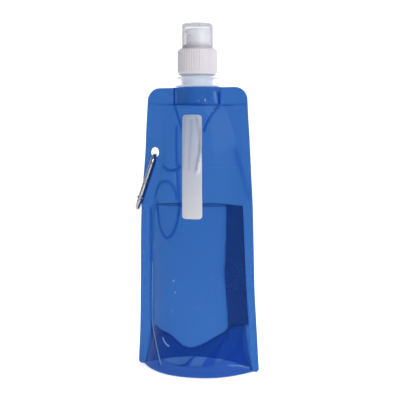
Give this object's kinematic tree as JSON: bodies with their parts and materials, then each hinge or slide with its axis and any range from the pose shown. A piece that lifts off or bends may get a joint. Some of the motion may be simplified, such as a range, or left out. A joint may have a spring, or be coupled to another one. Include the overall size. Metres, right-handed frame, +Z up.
{
  "type": "folding water bottle",
  "caption": "Collapsible film pouch that stands on a folded foot, with a moulded threaded spout, push-pull drinking cap, clear cover and a snap hook through the side seam.",
  "frame": {"origin": "on the spout's axis, in the plane the bottle stands on", "axes": "+Z up along the spout's axis, -Y out of the front panel, +X to the right seen from the front"},
  "size_m": [0.101, 0.0578, 0.2716],
  "materials": {
    "film": "glossy see-through blue film",
    "spout_plastic": "translucent natural moulding",
    "liner_foam": "soft foam",
    "cap_plastic": "satin moulding",
    "nozzle_plastic": "satin moulding",
    "clear_plastic": "clear glossy moulding",
    "polished_alloy": "polished",
    "gate_alloy": "polished",
    "pin_steel": "plain"
  },
  "bodies": {
    "pouch_base": {"front_film_lower": "film", "back_film_lower": "film", "foot_film": "film"},
    "pouch_top": {"front_film_upper": "film", "back_film_upper": "film", "spout": "spout_plastic"},
    "cap_seal": {"cap_liner": "liner_foam"},
    "cap": {"screw_cap": "cap_plastic"},
    "nozzle": {"drinking_nozzle": "nozzle_plastic"},
    "cover": {"dust_cap": "clear_plastic"},
    "carabiner": {"carabiner_frame": "polished_alloy", "carabiner_hinge_pin": "pin_steel"},
    "gate": {"carabiner_gate": "gate_alloy", "carabiner_nose_pin": "pin_steel", "carabiner_gate_spring": "pin_steel", "carabiner_plunger": "pin_steel"}
  },
  "joints": [
    {"name": "pouch_fold", "type": "hinge", "parent": "pouch_base", "child": "pouch_top", "pos_m": [0, 0.0191, 0.149], "axis": [-1, 0, 0], "range_deg": [0, 165]},
    {"name": "cap_turn", "type": "hinge", "parent": "cap_seal", "child": "cap", "pos_m": [0, 0, 0.25], "axis": [0, 0, 1], "range_deg": [0, 1800]},
    {"name": "cap_lift", "type": "slide", "parent": "pouch_top", "child": "cap_seal", "axis": [0, 0, 1], "range_m": [0, 0.02]},
    {"name": "nozzle_slide", "type": "slide", "parent": "cap", "child": "nozzle", "axis": [0, 0, 1], "range_m": [0, 0.0032]},
    {"name": "cover_lift", "type": "slide", "parent": "cap", "child": "cover", "axis": [0, 0, 1], "range_m": [0, 0.03]},
    {"name": "carabiner_swing", "type": "hinge", "parent": "pouch_top", "child": "carabiner", "pos_m": [-0.0349, 0, 0.1701], "axis": [-0.1908, 0.9816, 0], "range_deg": [0, 150]},
    {"name": "gate_open", "type": "hinge", "parent": "carabiner", "child": "gate", "pos_m": [-0.04435, -0.00958, 0.13691], "axis": [-0.9309, -0.1809, 0.3173], "range_deg": [0, 19], "stiffness_Nm_per_rad": 0.02, "springref_deg": -28.65}
  ],
  "couplings": [
    {"joint": "cap_lift", "follows": "cap_turn", "m_per_rad": 0.00063662}
  ]
}
